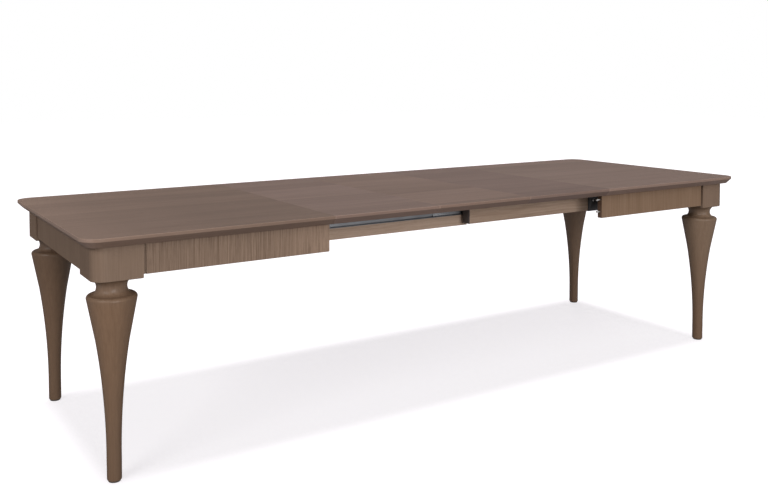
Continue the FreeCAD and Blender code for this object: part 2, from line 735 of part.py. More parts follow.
# Slider on the right beam: the smallest channel, its lips reaching into the middle guide
slider_screws, slider_bores = channel_screws(
    "slider_screws", "places.slider_start", "places.slider_length", "-places.right_beam_inner_y", -1,
)
slider_depth = "(sizes.guide_gap - 2 * places.nest_step)"
slider_open = channel(
    "slider_open",
    ("places.slider_length", slider_depth, "sizes.runner_height - 4 * places.nest_step"),
    ("places.slider_start", "-places.right_beam_inner_y", "places.runner_bottom + 2 * places.nest_step"),
    ("places.slider_length", f"{slider_depth} - sizes.steel_wall",
     "sizes.runner_height - 4 * places.nest_step - 2 * sizes.steel_wall"),
    ("places.slider_start", "-places.right_beam_inner_y + sizes.steel_wall",
     "places.runner_bottom + 2 * places.nest_step + sizes.steel_wall"),
)
right_front_slider = keep("right_front_slider", cut("right_front_slider", slider_open, slider_bores))
keep("right_rear_slider", mirror("right_rear_slider", right_front_slider, front_to_rear))
keep("right_slider_screws", both("right_slider_screws", slider_screws))

# Hangers: bent black plates that hold the right beams up against the right top beside the seam
hanger_start = "places.seam_x + sizes.hanger_setback"
hanger_outer_y = "-places.right_beam_outer_y - sizes.hanger_thickness"
hanger_side = box(
    "hanger_side",
    ("sizes.hanger_length", "sizes.hanger_thickness", "sizes.right_beam_height + sizes.hanger_thickness"),
    (hanger_start, hanger_outer_y, "places.right_beam_bottom - sizes.hanger_thickness"),
)
hanger_lip = box(
    "hanger_lip",
    ("sizes.hanger_length", "sizes.beam_thickness + sizes.hanger_thickness", "sizes.hanger_thickness"),
    (hanger_start, hanger_outer_y, "places.right_beam_bottom - sizes.hanger_thickness"),
)
hanger_shelf = box(
    "hanger_shelf",
    ("sizes.hanger_length", "sizes.hanger_flange + sizes.hanger_thickness", "sizes.hanger_thickness"),
    (hanger_start, f"{hanger_outer_y} - sizes.hanger_flange", "places.underside - sizes.hanger_thickness"),
)
hanger_blank = fuse("hanger_blank", fuse("hanger_angle", hanger_side, hanger_lip), hanger_shelf)
hanger_screw_shares = (0.25, 0.75)
hanger_drop_share = 0.5
hanger_screws = []
hanger_bores = []
for number, share in enumerate(hanger_screw_shares):
    spot_x = f"{hanger_start} + {share} * sizes.hanger_length"
    side_height = f"places.right_beam_bottom + {hanger_drop_share} * sizes.right_beam_height"
    shelf_y = f"{hanger_outer_y} - {hanger_drop_share} * sizes.hanger_flange"
    shelf_height = "places.underside - sizes.hanger_thickness"
    for screw_solid, screw_bore in (
        screw(f"hanger_side_screw_{number}", (spot_x, hanger_outer_y, side_height), "y", 1),
        screw(f"hanger_shelf_screw_{number}", (spot_x, shelf_y, shelf_height), "z", 1),
    ):
        hanger_screws.append(screw_solid)
        hanger_bores.append(screw_bore)
hanger_bore_group = group("hanger_bore_group", hanger_bores)
right_front_hanger = keep("right_front_hanger", cut("right_front_hanger", hanger_blank, hanger_bore_group))
keep("right_rear_hanger", mirror("right_rear_hanger", right_front_hanger, front_to_rear))
all_hanger_bores = both("all_hanger_bores", hanger_bore_group)
all_hanger_screws = both("all_hanger_screws", group("front_hanger_screws", hanger_screws))

# The beams themselves, drilled for their screws, with thin black caps on the right beams' free ends
left_beam_bores = group("left_beam_bores", [runner_bores, left_screw_bores])
left_front_beam = keep("left_front_beam", cut("left_front_beam", left_beam_blank, left_beam_bores))
keep("left_rear_beam", mirror("left_rear_beam", left_front_beam, front_to_rear))
right_beam_bores = group("right_beam_bores", [slider_bores, right_screw_bores, hanger_bore_group])
right_front_beam = keep("right_front_beam", cut("right_front_beam", right_beam_blank, right_beam_bores))
keep("right_rear_beam", mirror("right_rear_beam", right_front_beam, front_to_rear))
right_front_beam_cap = keep("right_front_beam_cap", eased_board(
    "right_front_beam_cap",
    ("sizes.beam_cap_thickness", "sizes.beam_thickness", "sizes.right_beam_height"),
    ("places.right_beam_start - sizes.beam_cap_thickness", "-places.right_beam_outer_y",
     "places.right_beam_bottom"), "y",
))
keep("right_rear_beam_cap", mirror("right_rear_beam_cap", right_front_beam_cap, front_to_rear))

# Spreaders between the left beams, at the seam and at the beams' tails
spreader_lengths = ("sizes.spreader_thickness", "2 * places.left_beam_inner_y", "sizes.spreader_height")
spreader_bottom = "places.underside - sizes.spreader_height"
keep("left_seam_spreader", eased_board(
    "left_seam_spreader", spreader_lengths,
    ("-places.seam_x - sizes.spreader_setback - sizes.spreader_thickness", "-places.left_beam_inner_y",
     spreader_bottom), "y",
))
keep("left_end_spreader", eased_board(
    "left_end_spreader", spreader_lengths,
    ("places.left_beam_start + sizes.spreader_setback", "-places.left_beam_inner_y", spreader_bottom), "y",
))

# Shallow runs planed under each top, which the other half's beams pass along as the table closes
run_width = "sizes.beam_thickness + 2 * sizes.beam_run_side"
run_depth = "sizes.beam_run_depth + sizes.cut_overrun"
run_bottom = "places.underside - sizes.cut_overrun"
left_runs = both("left_runs", box(
    "left_front_run", ("sizes.cut_overrun - places.seam_x - places.left_run_start", run_width, run_depth),
    ("places.left_run_start", "-places.right_beam_outer_y - sizes.beam_run_side", run_bottom),
))
right_runs = both("right_runs", box(
    "right_front_run", ("places.right_run_end - places.seam_x + sizes.cut_overrun", run_width, run_depth),
    ("places.seam_x - sizes.cut_overrun", "-places.left_beam_outer_y - sizes.beam_run_side", run_bottom),
))

# Tops and long aprons, drilled for their screws, dowels, pins and sockets
left_front_apron_bare = cut("left_front_apron_bare", front_apron_blank, frame_bores)
left_rear_apron_bare = mirror("left_rear_apron_bare", left_front_apron_bare, front_to_rear)
for side, bare in (("front", left_front_apron_bare), ("rear", left_rear_apron_bare)):
    right_bare = mirror(f"right_{side}_apron_bare", bare, left_to_right)
    keep(f"left_{side}_apron", cut(f"left_{side}_apron", bare, left_apron_sockets))
    keep(f"right_{side}_apron", cut(f"right_{side}_apron", right_bare, right_apron_seats))
left_top_bores = group("left_top_bores", [frame_screw_bores, left_screw_bores, left_sockets, left_runs])
keep("left_top", cut("left_top", left_top_blank, left_top_bores))
right_frame_bores = mirror("right_frame_bores", frame_screw_bores, left_to_right)
right_top_bores = group(
    "right_top_bores", [right_frame_bores, right_screw_bores, all_hanger_bores, right_seats, right_runs]
)
keep("right_top", cut("right_top", right_top_blank, right_top_bores))

# Brackets and their screws, gathered for each half
keep("left_brackets", group("left_brackets", [frame_brackets, left_brackets]))
keep("left_bracket_screws", group("left_bracket_screws", [frame_screws, left_screws]))
mirrored_brackets = mirror("mirrored_brackets", frame_brackets, left_to_right)
mirrored_screws = mirror("mirrored_screws", frame_screws, left_to_right)
keep("right_brackets", group("right_brackets", [mirrored_brackets, right_brackets]))
keep("right_bracket_screws", group(
    "right_bracket_screws", [mirrored_screws, right_screws, all_hanger_screws]
))

# Every object sound and every sub-part a valid shape before anything is written
document.recompute()
for thing in document.Objects:
    if {"Invalid", "Error"} & set(thing.State):
        raise RuntimeError(f"{thing.Name} failed: {thing.State}")
for piece in sub_parts:
    if piece.Shape.isNull() or not piece.Shape.isValid():
        raise RuntimeError(f"{piece.Label} has no valid shape")
for piece in sub_parts:
    piece.Shape.exportStep(os.path.join("parts", f"{piece.Label}.step"))
print(len(sub_parts), "sub-parts written")
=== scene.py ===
import math
import bpy
from mathutils import Matrix, Vector


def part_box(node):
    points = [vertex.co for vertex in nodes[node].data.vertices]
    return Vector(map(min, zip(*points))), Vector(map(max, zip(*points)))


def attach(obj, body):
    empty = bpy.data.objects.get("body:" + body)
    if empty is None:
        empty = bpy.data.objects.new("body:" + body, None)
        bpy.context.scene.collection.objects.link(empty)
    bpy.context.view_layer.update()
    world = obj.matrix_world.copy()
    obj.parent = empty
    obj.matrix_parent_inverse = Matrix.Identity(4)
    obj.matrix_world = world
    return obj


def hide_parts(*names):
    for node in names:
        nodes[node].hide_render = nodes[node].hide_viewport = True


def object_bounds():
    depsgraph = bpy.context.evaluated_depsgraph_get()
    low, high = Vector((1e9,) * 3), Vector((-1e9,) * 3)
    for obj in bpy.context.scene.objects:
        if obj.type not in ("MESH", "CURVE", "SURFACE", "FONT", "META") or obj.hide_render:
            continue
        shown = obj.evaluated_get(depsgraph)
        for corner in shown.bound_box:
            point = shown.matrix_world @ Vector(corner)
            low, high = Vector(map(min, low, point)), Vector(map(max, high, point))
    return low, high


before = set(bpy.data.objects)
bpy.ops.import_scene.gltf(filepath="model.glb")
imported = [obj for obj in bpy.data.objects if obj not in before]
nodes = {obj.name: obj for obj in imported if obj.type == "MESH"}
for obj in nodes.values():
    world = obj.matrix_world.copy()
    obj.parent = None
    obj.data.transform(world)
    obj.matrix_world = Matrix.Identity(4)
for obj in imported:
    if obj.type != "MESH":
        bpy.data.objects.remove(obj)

cad_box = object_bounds()
bpy.ops.object.select_all(action="DESELECT")


# Corner posts and aprons: boards of stained ash, the grain upright on every one of them. The posts are
# square blocks with a rounded outer corner. The aprons stand a little back from them and are dowelled in,
# and their arrises are painted lighter, partly as rubbed-thin stain and partly as painted highlight.
def lay(tree, kind, inputs, **options):
    """Add a shader node, set its options, then fill its inputs or wire them to another node's output."""
    made = tree.nodes.new(kind)
    for option, value in options.items():
        setattr(made, option, value)
    for socket, value in inputs.items():
        if isinstance(value, bpy.types.NodeSocket):
            tree.links.new(value, made.inputs[socket])
        else:
            made.inputs[socket].default_value = value
    return made


def ramp(tree, level, stops, smooth=True):
    """Blend between the colours or levels that stand at marks along a level."""
    made = lay(tree, "ShaderNodeValToRGB", {"Fac": level})
    band = made.color_ramp
    band.interpolation = "EASE" if smooth else "LINEAR"
    while len(band.elements) < len(stops):
        band.elements.new(1.0)
    for element, (mark, shade) in zip(band.elements, stops):
        element.position = mark
        element.color = (*shade, 1.0) if isinstance(shade, tuple) else (shade, shade, shade, 1.0)
    return made.outputs["Color"]


def reckon(tree, operation, *levels):
    """Work one level out of others, such as a product or the larger of two."""
    return lay(tree, "ShaderNodeMath", dict(enumerate(levels)), operation=operation).outputs["Value"]


def mix(tree, share, under, over, blend="MIX"):
    """Lay one colour over another by a share. Sockets of this node share names, so they go by number."""
    under, over = [(*colour, 1.0) if isinstance(colour, tuple) else colour for colour in (under, over)]
    sockets = {0: share, 6: under, 7: over}
    return lay(tree, "ShaderNodeMix", sockets, data_type="RGBA", blend_type=blend).outputs[2]


def shaded(tree, colour, shade):
    """A colour multiplied by a shade."""
    return mix(tree, 1.0, colour, shade, "MULTIPLY")


def darken_by_stain_and_shade(tree, where, colour, shade):
    """The colour darkened where a mask says so, for deeper stain and for painted shade."""
    return mix(tree, where, colour, shaded(tree, colour, shade))


def new_finish(name):
    """A new material, its node tree and its shader."""
    finish = bpy.data.materials.new(name)
    finish.use_nodes = True
    tree = finish.node_tree
    return finish, tree, tree.nodes["Principled BSDF"]


def speckle_noise(tree, where, scale, detail):
    """Plain noise, the same in every direction."""
    return lay(tree, "ShaderNodeTexNoise", {"Vector": where, "Scale": scale, "Detail": detail})


def grain_noise(tree, where, along, stretch, scale, detail, roughness):
    """Noise drawn out along the grain: stretch times longer than it is wide."""
    scales = [scale, scale, scale]
    scales["xyz".index(along)] = scale / stretch
    drawn = lay(tree, "ShaderNodeMapping", {"Vector": where, "Scale": scales})
    return lay(tree, "ShaderNodeTexNoise", {
        "Vector": drawn.outputs["Vector"], "Scale": 1.0, "Detail": detail, "Roughness": roughness,
    }).outputs["Fac"]


def arris_mask(tree, radius, sharp, flat):
    """Level that is high where the surface bends sharply, as at an arris."""
    bevelled = lay(tree, "ShaderNodeBevel", {"Radius": radius}, samples=6).outputs["Normal"]
    plain = lay(tree, "ShaderNodeNewGeometry", {}).outputs["Normal"]
    alike = lay(tree, "ShaderNodeVectorMath", {0: bevelled, 1: plain}, operation="DOT_PRODUCT")
    return ramp(tree, alike.outputs["Value"], ((sharp, 1.0), (flat, 0.0)))


def painted_corner_shade(tree, reach, stops):
    """Painted shade: a level that darkens the colour towards inner corners, where shade falls."""
    openness = lay(tree, "ShaderNodeAmbientOcclusion", {"Distance": reach}, samples=8).outputs["AO"]
    return ramp(tree, openness, stops)


def facing(tree, axis):
    """How far a face looks along an axis, from -1 to 1."""
    normal = lay(tree, "ShaderNodeTexCoord", {}).outputs["Normal"]
    return lay(tree, "ShaderNodeSeparateXYZ", {"Vector": normal}).outputs[axis]


def square_to(tree, axis):
    """Level that is high on the faces that look straight along an axis, either way."""
    return ramp(tree, reckon(tree, "ABSOLUTE", facing(tree, axis)), ((0.8, 0.0), (0.95, 1.0)))


def emboss(tree, skin, height, strength, depth):
    """Raise the surface by a pattern, and give back the normal that comes of it."""
    bump = lay(tree, "ShaderNodeBump", {"Height": height, "Strength": strength, "Distance": depth})
    tree.links.new(bump.outputs["Normal"], skin.inputs["Normal"])
    return bump.outputs["Normal"]


def drift_along(piece, axis, shades):
    """How the stain shifts along a piece: shades at shares of its length."""
    low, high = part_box(piece)
    number = "XYZ".index(axis)
    return axis, low[number], high[number], shades


def stained_wood(name, along, tones, start=(0.0, 0.0, 0.0), fineness=170.0, figure_share=0.38,
                 pore_share=0.4, stave=0.0, end_stain_and_shade_axis="", drift=(), lipping=0.0, rub_and_highlight=0.5, rub_and_highlight_width=0.0035,
                 corner_shade=0.55, lacquer=0.04, satin=0.42):
    """Open-grained wood under stain and lacquer: broad figure, growth lines and pores along the grain.

    Boards glued side by side differ in tone from stave to stave. An end axis names the direction whose cut
    faces are darkened, partly as end grain that drank more stain and partly as painted shade, and on a
    board with a lipping the long edges and the bevel get painted shade. Painted shade darkens the inner
    corners, and the arrises are painted light, partly as wear and partly as painted highlight, on a lipped
    board only those of its outer rim. A drift says how the tone shifts along the piece.
    """
    finish, tree, skin = new_finish(name)
    dark, middle, light = tones
    place = lay(tree, "ShaderNodeTexCoord", {}).outputs["Object"]
    spot = lay(tree, "ShaderNodeSeparateXYZ", {"Vector": place}).outputs

    # The grain wanders a little, and three noises along it make figure, growth lines and pores.
    shifted = lay(tree, "ShaderNodeMapping", {"Vector": place, "Location": start}).outputs["Vector"]
    sway = speckle_noise(tree, shifted, scale=2.2, detail=1.0).outputs["Color"]
    sway_width = (0.02, 0.02, 0.02)
    swayed = lay(tree, "ShaderNodeVectorMath", {
        0: sway, 1: sway_width, 2: shifted,
    }, operation="MULTIPLY_ADD").outputs["Vector"]
    figure = grain_noise(tree, swayed, along, stretch=9.0, scale=13.0, detail=3.0, roughness=0.55)
    lines = grain_noise(tree, swayed, along, stretch=60.0, scale=fineness, detail=4.0, roughness=0.62)
    pores = grain_noise(tree, swayed, along, stretch=26.0, scale=900.0, detail=2.0, roughness=0.5)
    broad = reckon(tree, "MULTIPLY", figure, figure_share)
    level = reckon(tree, "MULTIPLY_ADD", lines, 1.0 - figure_share, broad)
    colour = ramp(tree, level, ((0.3, dark), (0.5, middle), (0.7, light)), smooth=False)
    if stave:
        across = lay(tree, "ShaderNodeSeparateXYZ", {"Vector": shifted}).outputs["Y"]
        count = reckon(tree, "FLOOR", reckon(tree, "DIVIDE", across, stave))
        chance = lay(tree, "ShaderNodeTexWhiteNoise", {"W": count}, noise_dimensions="1D").outputs["Value"]
        colour = shaded(tree, colour, ramp(tree, chance, ((0.0, 0.94), (1.0, 1.06))))
    pore_mark = ramp(tree, pores, ((0.34, 1.0), (0.42, 0.0)))
    colour = mix(tree, reckon(tree, "MULTIPLY", pore_mark, pore_share), colour, dark)

    # Cut faces are darkened, partly as deeper stain and partly as painted shade, and the tone drifts along
    # the piece, on the legs and the left top as painted light and shade.
    if end_stain_and_shade_axis:
        # Painted shade, partly deeper stain in end grain: the cut faces are darkened.
        colour = darken_by_stain_and_shade(tree, square_to(tree, end_stain_and_shade_axis), colour, (0.55, 0.5, 0.52))
    if drift:
        axis, first, last, shades = drift
        run = lay(tree, "ShaderNodeMapRange", {"Value": spot[axis], "From Min": first, "From Max": last})
        colour = shaded(tree, colour, ramp(tree, run.outputs["Result"], shades))
    # Painted highlight, partly wear: a mask of the arrises, where the colour is lightened.
    uneven = ramp(tree, figure, ((0.35, 0.4 * rub_and_highlight), (0.65, rub_and_highlight)))
    rubbed = reckon(tree, "MULTIPLY", arris_mask(tree, rub_and_highlight_width, sharp=0.86, flat=0.985), uneven)
    if lipping:
        # Painted shade: the long edges and the downward-facing bevel are darkened.
        colour = darken_by_stain_and_shade(tree, square_to(tree, "Y"), colour, (0.83, 0.79, 0.74))
        downwards = reckon(tree, "MULTIPLY", facing(tree, "Z"), -1.0)
        bevel = ramp(tree, downwards, ((0.4, 0.0), (0.6, 1.0)))
        colour = darken_by_stain_and_shade(tree, bevel, colour, (0.7, 0.66, 0.62))
        rims = [reckon(tree, "GREATER_THAN", reckon(tree, "ABSOLUTE", spot[axis]), edge - lipping)
                for axis, edge in zip("XY", cad_box[1])]
        upper_rim = reckon(tree, "SUBTRACT", reckon(tree, "MAXIMUM", *rims), bevel)
        rubbed = reckon(tree, "MULTIPLY", rubbed, upper_rim)

    # Arrises painted lighter, partly wear and partly painted highlight; painted shade in the inner corners;
    # and a thin lacquer that follows the grain.
    # Painted highlight, partly wear: the arrises take a lighter tone.
    rub_and_highlight_tone = tuple(1.65 * part for part in light)
    colour = mix(tree, rubbed, colour, rub_and_highlight_tone)
    # Painted shade: the colour darkens towards the inner corners.
    colour = shaded(tree, colour, painted_corner_shade(tree, 0.014, ((0.15, 1.0 - corner_shade), (0.75, 1.0))))
    tree.links.new(colour, skin.inputs["Base Color"])
    tree.links.new(ramp(tree, lines, ((0.3, 0.7), (0.7, 0.55))), skin.inputs["Roughness"])
    relief = reckon(tree, "SUBTRACT", lines, pore_mark)
    grained = emboss(tree, skin, relief, strength=0.25, depth=0.0004)
    tree.links.new(grained, skin.inputs["Coat Normal"])
    skin.inputs["Specular IOR Level"].default_value = 0.0
    skin.inputs["Coat Weight"].default_value = lacquer
    skin.inputs["Coat IOR"].default_value = 2.6
    skin.inputs["Coat Roughness"].default_value = satin
    return finish


def dress(finish, *names):
    """Give a finish to the solids of these names."""
    for name in names:
        for slot in nodes[name].material_slots:
            slot.material = finish


post_tones = ((0.18, 0.12, 0.085), (0.215, 0.146, 0.105), (0.243, 0.168, 0.121))
post_stain = stained_wood("post_stain", "z", post_tones, start=(0.11, 0.23, 0.0), pore_share=0.25)
striped_tones = ((0.14, 0.091, 0.062), (0.238, 0.162, 0.117), (0.315, 0.22, 0.161))
quiet_tones = ((0.184, 0.115, 0.072), (0.232, 0.149, 0.097), (0.27, 0.177, 0.12))
# The left aprons grow lighter towards their right end.
left_apron_drift = drift_along("left_front_apron", "X", ((0.0, 0.92), (0.56, 0.97), (1.0, 1.15)))
apron_boards = {
    "left": {"tones": striped_tones, "fineness": 270.0, "figure_share": 0.12, "drift": left_apron_drift},
    "right": {"tones": quiet_tones, "figure_share": 0.3, "pore_share": 0.15},
}
for half, board in apron_boards.items():
    apron_stain = stained_wood(f"{half}_apron_stain", "z", end_stain_and_shade_axis="X", **board)
    dress(apron_stain, f"{half}_front_apron", f"{half}_rear_apron")
    dress(post_stain, f"{half}_front_post", f"{half}_rear_post", f"{half}_end_apron")

# Turned legs: each from one upright billet of ash, so the growth lines run its whole length and open into
# long loops where the turning cuts across them. All are rubbed to a satin that takes a soft light along the
# middle of each leg. Each leg is painted darker towards its foot as painted shade, the left rear leg darker
# all along, and the top of each leg is painted lighter and greyer, a painted sheen.
leg_tones = ((0.148, 0.086, 0.05), (0.174, 0.103, 0.061), (0.199, 0.12, 0.072))
leg_painted_shades = {
    "left_front_leg": ((0.08, 0.8), (0.87, 1.08), (0.95, (1.09, 1.17, 1.3))),
    "left_rear_leg": ((0.08, 0.74), (0.52, 0.86), (0.87, 0.82), (0.95, (0.83, 0.88, 0.98))),
    "right_front_leg": ((0.08, 0.8), (0.96, (1.09, 1.2, 1.33))),
    "right_rear_leg": ((0.08, 0.86), (0.52, (1.08, 1.15, 1.25)), (0.96, (0.95, 1.02, 1.12))),
}
for leg, shades in leg_painted_shades.items():
    turned_stain = stained_wood(
        f"{leg}_stain", "z", leg_tones, start=(0.31, 0.17, 0.0), pore_share=0.2,
        drift=drift_along(leg, "Z", shades), rub_and_highlight=0.3, corner_shade=0.25, lacquer=0.09, satin=0.36,
    )
    dress(turned_stain, leg)

# Half tops and leaves: veneered boards, the grain along the table, each cut from its own flitch, so the
# figure breaks off at every seam and no two boards are quite the same tone. Their lipping gets painted
# shade on its long edges and bevel, and its upper arris is painted light, partly wear and partly painted
# highlight. The left top is painted lighter towards its left end, a painted pool of light.
top_tones = ((0.218, 0.148, 0.118), (0.258, 0.176, 0.141), (0.291, 0.2, 0.161))
stave_width = 0.143
lipping_width = 0.012
flitch_step = Vector((0.7, 0.37, 0.0))
board_tints = {
    "left_top": (0.99, 0.98, 0.95),
    "leaf_left": (1.04, 1.04, 1.08),
    "leaf_middle": (1.02, 1.01, 1.02),
    "leaf_right": (0.93, 0.93, 0.98),
    "right_top": (1.05, 1.07, 1.11),
}
# Painted light: the left top grows lighter towards its left end.
board_painted_light = {"left_top": drift_along("left_top", "X", ((0.0, 1.2), (0.3, 1.02), (0.6, 0.93)))}
for number, (board, tint) in enumerate(board_tints.items()):
    tones = [tuple(part * share for part, share in zip(tone, tint)) for tone in top_tones]
    veneer = stained_wood(
        f"{board}_veneer", "x", tones, start=number * flitch_step, pore_share=0.3, stave=stave_width,
        drift=board_painted_light.get(board, ()), lipping=lipping_width, rub_and_highlight=0.9, rub_and_highlight_width=0.0045,
        lacquer=0.11, satin=0.38,
    )
    dress(veneer, board)

# Dowels between aprons and posts: plain pegs cut from beech rod, glued into both and out of sight once
# the frame is together.
dowel_tones = ((0.42, 0.29, 0.18), (0.55, 0.4, 0.26), (0.64, 0.48, 0.33))
bare_beech = stained_wood("bare_beech", "x", dowel_tones)
dress(bare_beech, "left_apron_dowels", "right_apron_dowels")

# Slide beams and spreaders: planed beech with a thin wash of the same stain, so they stay lighter and
# pinker than the show wood. The grain runs along each beam, and the spreaders lie across the left pair.
beam_tones = ((0.28, 0.191, 0.137), (0.396, 0.282, 0.211), (0.479, 0.352, 0.275))
beam_wash = stained_wood("beam_wash", "x", beam_tones, start=(0.2, 0.0, 0.0))
cross_wash = stained_wood("cross_wash", "y", beam_tones, start=(0.2, 0.0, 0.0))
for half in ("left", "right"):
    dress(beam_wash, f"{half}_front_beam", f"{half}_rear_beam")
dress(cross_wash, "left_seam_spreader", "left_end_spreader")


# Foot glides: nylon discs with a stem, tapped into the end grain of each foot. Their lower rim is
# rounded so that the table slides without catching.
def coated(name, shade, speckle, roughness):
    """Smooth plastic or powder coat: a fine orange peel, a little lighter where it is raised."""
    finish, tree, skin = new_finish(name)
    place = lay(tree, "ShaderNodeTexCoord", {}).outputs["Object"]
    orange_peel = speckle_noise(tree, place, scale=speckle, detail=2.0).outputs["Fac"]
    lighter = tuple(1.8 * part for part in shade)
    colour = mix(tree, ramp(tree, orange_peel, ((0.4, 0.0), (0.8, 1.0))), shade, lighter)
    colour = mix(tree, arris_mask(tree, 0.001, sharp=0.8, flat=0.97), colour, lighter)
    tree.links.new(colour, skin.inputs["Base Color"])
    smooth, rough = roughness
    tree.links.new(ramp(tree, orange_peel, ((0.3, smooth), (0.7, rough))), skin.inputs["Roughness"])
    emboss(tree, skin, orange_peel, strength=0.3, depth=0.0001)
    skin.inputs["Specular IOR Level"].default_value = 0.25
    return finish


def merged_copy(name, kind):
    """A copy of a solid's mesh with its loose triangles merged into whole faces."""
    piece = bpy.data.objects.new(f"{name}_{kind}", nodes[name].data.copy())
    bpy.context.scene.collection.objects.link(piece)
    bpy.ops.object.select_all(action="DESELECT")
    piece.select_set(True)
    bpy.context.view_layer.objects.active = piece
    bpy.ops.mesh.customdata_custom_splitnormals_clear()
    bpy.ops.object.mode_set(mode="EDIT")
    bpy.ops.mesh.select_all(action="SELECT")
    bpy.ops.mesh.remove_doubles(threshold=0.00001)
    bpy.ops.mesh.dissolve_limited(angle_limit=math.radians(0.5))
    bpy.ops.object.mode_set(mode="OBJECT")
    return piece


def round_over(name, finish, body, width, rounds):
    """A piece like the solid with its sharp edges rounded over, shown in its place."""
    piece = merged_copy(name, "rounded")
    rounding = piece.modifiers.new("rounding", "BEVEL")
    rounding.limit_method = "ANGLE"
    rounding.angle_limit = math.radians(50)
    rounding.width = width
    rounding.segments = rounds
    bpy.ops.object.modifier_apply(modifier=rounding.name)
    bpy.ops.object.shade_smooth_by_angle(angle=math.radians(40))
    for place in piece.material_slots:
        place.material = finish
    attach(piece, body)
    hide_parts(name)


glide_nylon = coated("glide_nylon", (0.06, 0.05, 0.042), speckle=500.0, roughness=(0.45, 0.6))
for half in ("left", "right"):
    round_over(f"{half}_foot_glides", glide_nylon, f"{half}_half", width=0.0015, rounds=3)


# Telescopic guides: channels rolled from thin strip and zinc plated. The runner is screwed to the left
# beam, the slider to the right one, and the middle guide runs between them, its zinc painted darker as
# painted shade.
def plated(name, shade, roughness):
    """Zinc plate, rubbed bright along the run, with painted shade darkening its corners."""
    finish, tree, skin = new_finish(name)
    place = lay(tree, "ShaderNodeTexCoord", {}).outputs["Object"]
    rubbed = grain_noise(tree, place, "x", stretch=80.0, scale=900.0, detail=2.0, roughness=0.5)
    cloud = speckle_noise(tree, place, scale=18.0, detail=2.0).outputs["Fac"]
    darker = tuple(0.86 * part for part in shade)
    colour = mix(tree, ramp(tree, cloud, ((0.35, 0.0), (0.7, 1.0))), shade, darker)
    # Painted shade: the colour darkens towards the channel's inner corners.
    colour = shaded(tree, colour, painted_corner_shade(tree, 0.012, ((0.2, 0.25), (0.7, 1.0))))
    tree.links.new(colour, skin.inputs["Base Color"])
    smooth, rough = roughness
    tree.links.new(ramp(tree, rubbed, ((0.3, smooth), (0.7, rough))), skin.inputs["Roughness"])
    emboss(tree, skin, rubbed, strength=0.15, depth=0.0001)
    skin.inputs["Metallic"].default_value = 1.0
    return finish


channel_zinc = plated("channel_zinc", (0.16, 0.165, 0.172), roughness=(0.4, 0.56))
# Painted shade: a darker copy of the zinc for the middle guide.
shade_painted_zinc = plated("shade_painted_zinc", (0.066, 0.067, 0.07), roughness=(0.3, 0.46))
for side in ("front", "rear"):
    channels = (
        (f"left_{side}_runner", channel_zinc, "left_half"),
        (f"right_{side}_slider", channel_zinc, "right_half"),
        (f"guide_{side}", shade_painted_zinc, f"{side}_guide"),
    )
    for channel, zinc, body in channels:
        round_over(channel, zinc, body, width=0.0005, rounds=2)

# Hangers and beam caps: each right beam is carried beside the seam by a bent plate of steel with a black
# powder coat, and closed at its free end by a moulded black cap.
hanger_black = coated("hanger_black", (0.011, 0.0095, 0.009), speckle=700.0, roughness=(0.42, 0.58))
cap_black = coated("cap_black", (0.08, 0.064, 0.058), speckle=1100.0, roughness=(0.5, 0.65))
for side in ("front", "rear"):
    round_over(f"right_{side}_hanger", hanger_black, "right_half", width=0.0012, rounds=3)
    round_over(f"right_{side}_beam_cap", cap_black, "right_half", width=0.0012, rounds=3)

# Pins and studs: drawn steel rod, zinc plated. The seam and apron pins have rounded noses so that they
# find their sockets. The studs hold the legs to the posts and stay out of sight.
bright_zinc = plated("bright_zinc", (0.42, 0.41, 0.39), roughness=(0.25, 0.4))
pin_rows = {"right_top_pins": "right_half", "right_apron_pins": "right_half"}
for leaf in ("left", "middle", "right"):
    pin_rows[f"leaf_{leaf}_pins"] = f"{leaf}_leaf"
for row, body in pin_rows.items():
    round_over(row, bright_zinc, body, width=0.0025, rounds=4)
dress(bright_zinc, "left_leg_studs", "right_leg_studs")

# Angle brackets: pressed steel, zinc plated, with the press's rounded edges. They tie the aprons and
# beams to the tops from below.
for half in ("left", "right"):
    round_over(f"{half}_brackets", bright_zinc, f"{half}_half", width=0.0008, rounds=2)

# Screws: zinc-plated pan heads with a cross recess, through the brackets and hangers into the tops and
# through the channels into the beams. One is modelled and copied to each place, its recess turned as it
# happened to stop.
head_radius = 0.004
head_height = 0.0024
head_round = 0.0011
shank_radius = 0.002
shank_length = 0.016
point_length_share = 0.25
point_width_share = 0.2
recess_length = 0.0046
recess_width = 0.0011
recess_depth = 0.0013
turn_between_screws = 2.4


def pick_end(piece, upwards):
    """Select the flat end of a piece that looks up, or with -1 the one that looks down."""
    bpy.ops.object.mode_set(mode="EDIT")
    bpy.ops.mesh.select_mode(type="FACE")
    bpy.ops.mesh.select_all(action="DESELECT")
    bpy.ops.object.mode_set(mode="OBJECT")
    for face in piece.data.polygons:
        face.select = upwards * face.normal.z > 0.9
    bpy.ops.object.mode_set(mode="EDIT")


def draw_down(length):
    """Extrude what is selected downwards."""
    bpy.ops.mesh.extrude_region_move(TRANSFORM_OT_translate={"value": (0.0, 0.0, -length)})


